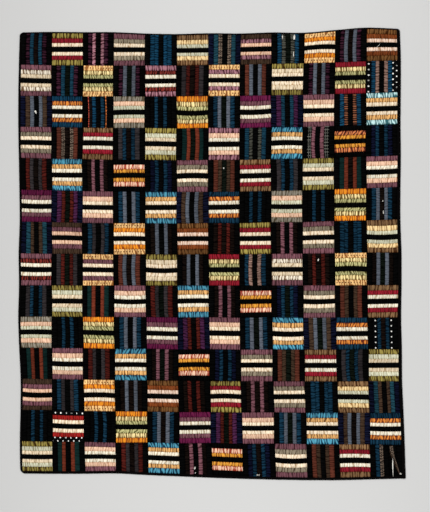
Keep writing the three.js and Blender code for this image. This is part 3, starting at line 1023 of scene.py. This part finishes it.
def worn_places(materials, cotton):
    """Lint where the silk has worn through, and the torn ribbon."""
    sewing = Sewing()
    rng = random.Random(31)
    for spot in WORN_SPOTS:
        lint(sewing, spot, rng)
    for number, (_, line) in enumerate(TORN_BANDS):
        torn_band(sewing, line, number + 1, TORN_LIFT + TORN_LIFT_STEP * number)
    looks = [cotton] + [materials[name] for name, _ in TORN_BANDS]
    piece = sewing.mesh("worn_places", looks)
    weld(piece)
    return piece


def corner_inset(distance, radius):
    """How far a round corner draws an edge in, at a distance from the square corner."""
    rest = radius - np.clip(distance, 0, radius)
    return radius - np.sqrt(radius ** 2 - rest ** 2)


# The folded tape's section: shares of its width from the inner edge out, and of its height. The
# lip over the ribbons, with shares below 0, is a share of one length on all sides.
BINDING_PROFILE = (
    (0.02, 0.0), (0.02, 0.52), (-0.14, 0.66), (-0.06, 0.84), (0.12, 0.94), (0.36, 1.0),
    (0.6, 0.99), (0.8, 0.88), (0.93, 0.69), (1.0, 0.44), (0.97, 0.17), (0.84, 0.0),
)
LIP_SCALE = 0.008

# Puckers where the tape is stitched: their lengths a radian, how far they push it aside and raise
# it, from which shares of its height on, and how much its outermost part moves.
CLOSE_PUCKER = 0.0061
PUCKER_DRIFT = 0.047
WIDE_PUCKER = 0.017
PUCKER_ASIDE = 0.00035
PUCKER_RISE = 0.035
ASIDE_FROM = 0.3
RAISED_FROM = 0.6
OUTERMOST = 0.9
OUTERMOST_MOVE = 0.4

# Points along a tape: how finely its edge is read, and the first ones' distances from its ends
EDGE_READINGS = 4000
CLOSE_DISTANCES = (0, 0.0006, 0.0014, 0.0026, 0.0042, 0.0064, 0.009)
BODY_DISTANCE = 0.013


def side_line(side):
    """Stations of the left or right tape: the inner edge's x and y, and the width there."""
    width = BINDING_WIDTH[side]
    x, y = place(np.linspace(0, ROWS, EDGE_READINGS), 0 if side == "left" else COLUMNS)
    high, low = y[0] + BINDING_WIDTH["top"], y[-1] - BINDING_WIDTH["bottom"]
    first, last = CORNER_RADIUS["top", side], CORNER_RADIUS["bottom", side]
    start = high - float(corner_inset(width - BINDING_TIP, first))
    stop = low + float(corner_inset(width - BINDING_TIP, last))
    count = int(abs(start - stop) / BINDING_STEP)
    eased = start + (stop - start) * ease_ends(count, start - stop)
    inner = np.interp(-eased, -y, x)
    drawn = np.maximum(corner_inset(high - eased, first), corner_inset(eased - low, last))
    return inner, eased, width - drawn


def end_line(side):
    """Stations of the top or bottom tape, in the same way."""
    width = BINDING_WIDTH[side]
    x, y = place(0 if side == "top" else ROWS, np.linspace(0, COLUMNS, EDGE_READINGS))
    outer_left, outer_right = x[0] - BINDING_WIDTH["left"], x[-1] + BINDING_WIDTH["right"]
    count = int((x[-1] - x[0]) / BINDING_STEP)
    eased = x[0] + (x[-1] - x[0]) * ease_ends(count, x[-1] - x[0])
    inner = np.interp(eased, x, y)
    drawn = np.maximum(
        corner_inset(eased - outer_left, CORNER_RADIUS[side, "left"]),
        corner_inset(outer_right - eased, CORNER_RADIUS[side, "right"]),
    )
    return eased, inner, width - drawn


def ease_ends(count, length):
    """Shares from 0 to 1, close together at both ends."""
    close = np.array(CLOSE_DISTANCES) / length
    body = np.linspace(BODY_DISTANCE / length, 1 - BODY_DISTANCE / length, count)
    return np.concatenate([close, body, 1 - close[::-1]])


def puckers(run):
    """The pull of the stitches along a tape, from -1 to 1."""
    close = np.sin(run / CLOSE_PUCKER + 0.9 * np.sin(run / PUCKER_DRIFT))
    return 0.5 * close + 0.5 * np.sin(run / WIDE_PUCKER + 2.0)


def binding(side, material):
    """A strip of folded tape along one edge, rolled over it and puckered by its stitches."""
    outward = {"left": (-1, 0), "right": (1, 0), "top": (0, 1), "bottom": (0, -1)}[side]
    x, y, width = side_line(side) if side in ("left", "right") else end_line(side)
    run = np.concatenate([[0], np.cumsum(np.hypot(np.diff(x), np.diff(y)))])
    pucker = puckers(run)[:, None]
    full = np.clip(width / FULL_HEIGHT_WIDTH, LEAST_HEIGHT_SHARE, 1)
    out, up = (np.array(shares)[None, :] for shares in zip(*BINDING_PROFILE))
    reach = np.where(out < 0, out * LIP_SCALE, out * width[:, None])
    aside = PUCKER_ASIDE * pucker * (up > ASIDE_FROM)
    offset = reach + aside * np.where(out < OUTERMOST, 1, OUTERMOST_MOVE)
    height = (BINDING_HEIGHT + loft(x, y)) * full
    z = up * height[:, None] * (1 + PUCKER_RISE * pucker * (up > RAISED_FROM))
    px = x[:, None] + outward[0] * offset
    py = y[:, None] + outward[1] * offset
    sewing = Sewing()
    sewing.grid(px, py, z, ribbon=(run[:, None], up * 0.5), closed=True)
    piece = sewing.mesh("visual_binding_" + side, [material])
    close_ends(piece, px.shape)
    return piece


def close_ends(piece, shape):
    """Caps both ends of a tube of points and turns its faces outwards."""
    work = bmesh.new()
    work.from_mesh(piece.data)
    work.verts.ensure_lookup_table()
    for start in (0, (shape[0] - 1) * shape[1]):
        work.faces.new([work.verts[start + i] for i in range(shape[1])])
    bmesh.ops.recalc_face_normals(work, faces=work.faces)
    work.to_mesh(piece.data)
    work.free()
    piece.data.shade_smooth()


# Stage

# The photograph's frame: metres a pixel, the pixel where the tables of seams have their zero, and
# its size in pixels.
PHOTO_SCALE = 0.00376
PHOTO_CENTRE = (211.5, 254.0)
FRAME_PIXELS = (430, 512)
CAMERA_HEIGHT = 7.0
SENSOR_MILLIMETRES = 36.0

# The floor. A painted shade on it rises and falls with x as a parabola, as far as its ends.
FLOOR_SIZE = 40
FLOOR_DEPTH = 0.0002
FLOOR_SHADE_ENDS = (-0.9, 0.95)
FLOOR_SHADE_SLOPE = 0.035
FLOOR_SHADE_BEND = -0.137

# Lights: direction, strength and width in degrees, and the light of the room around
KEY_LIGHT = ((-1.0, 0.9, 1.5), 2.3, 30)
FILL_LIGHT = ((1.1, -0.8, 1.8), 0.8, 60)
ROOM_COLOUR = (0.96, 0.98, 1.0)
ROOM_STRENGTH = 0.42


def stage():
    """The pale floor, with painted shade a little darker towards the sides."""
    w = Wiring("pale_floor")
    here = w.node("ShaderNodeTexCoord", {}).outputs["Object"]
    x = w.node("ShaderNodeSeparateXYZ", {0: here}).outputs[0]
    x = w.node("ShaderNodeClamp", {0: x, 1: FLOOR_SHADE_ENDS[0], 2: FLOOR_SHADE_ENDS[1]}).outputs[0]
    # Painted shade: the floor's colour is darker towards the sides.
    painted_floor_shade = w.times(x, w.math("MULTIPLY_ADD", x, FLOOR_SHADE_BEND, FLOOR_SHADE_SLOPE))
    w.put(w.shader.inputs["Base Color"], w.brighten(linear(FLOOR), w.math("ADD", painted_floor_shade, 1.0)))
    w.shader.inputs["Roughness"].default_value = 1.0
    w.shader.inputs["Specular IOR Level"].default_value = 0.0
    bpy.ops.mesh.primitive_plane_add(size=FLOOR_SIZE, location=(0, 0, -FLOOR_DEPTH))
    floor = bpy.context.object
    floor.name = "floor"
    floor.data.materials.append(w.material)


def sun(name, direction, strength, softness):
    """Even light from a direction. softness is its width in degrees."""
    light = bpy.data.lights.new(name, "SUN")
    light.energy = strength
    light.angle = math.radians(softness)
    holder = bpy.data.objects.new(name, light)
    holder.rotation_euler = Vector(direction).to_track_quat("Z", "Y").to_euler()
    bpy.context.scene.collection.objects.link(holder)


def lights():
    """A soft main light from the upper left, a weaker one from the lower right, and the room."""
    sun("key", *KEY_LIGHT)
    sun("fill", *FILL_LIGHT)
    world = bpy.data.worlds.new("room")
    world.use_nodes = True
    background = world.node_tree.nodes["Background"]
    background.inputs[0].default_value = (*ROOM_COLOUR, 1)
    background.inputs[1].default_value = ROOM_STRENGTH
    bpy.context.scene.world = world


def camera():
    """Straight above, framed as the photograph is."""
    data = bpy.data.cameras.new("camera")
    data.sensor_width = SENSOR_MILLIMETRES
    data.lens = SENSOR_MILLIMETRES * CAMERA_HEIGHT / (FRAME_PIXELS[1] * PHOTO_SCALE)
    holder = bpy.data.objects.new("camera", data)
    x = (FRAME_PIXELS[0] / 2 - PHOTO_CENTRE[0]) * PHOTO_SCALE - MIDDLE[0]
    y = (PHOTO_CENTRE[1] - FRAME_PIXELS[1] / 2) * PHOTO_SCALE - MIDDLE[1]
    holder.location = (x, y, CAMERA_HEIGHT)
    bpy.context.scene.collection.objects.link(holder)
    bpy.context.scene.camera = holder


def build():
    """The stage, then the quilt's pieces in place of the CAD nodes that they stand for."""
    stage()
    lights()
    camera()
    materials = {name: silk_material(name) for name in SILKS}
    back = foundation(cotton_material("foundation_cotton", FOUNDATION_COTTON))
    ribbons = [ribbon_row(row, materials) for row in range(ROWS)]
    worn = worn_places(materials, cotton_material("bare_cotton", BARE_COTTON))
    for piece in [back, *ribbons, worn]:
        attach(piece, BODY)
        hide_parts("patchwork")
    tape = cotton_material("binding_tape", TAPE_BLACK, thread=0.0006, depth=0.00015, shine=0.02)
    for side in ("top", "right", "bottom", "left"):
        piece = binding(side, tape)
        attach(piece, BODY)
        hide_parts("binding_" + side)
    bpy.context.scene.view_settings.view_transform = "Standard"


build()
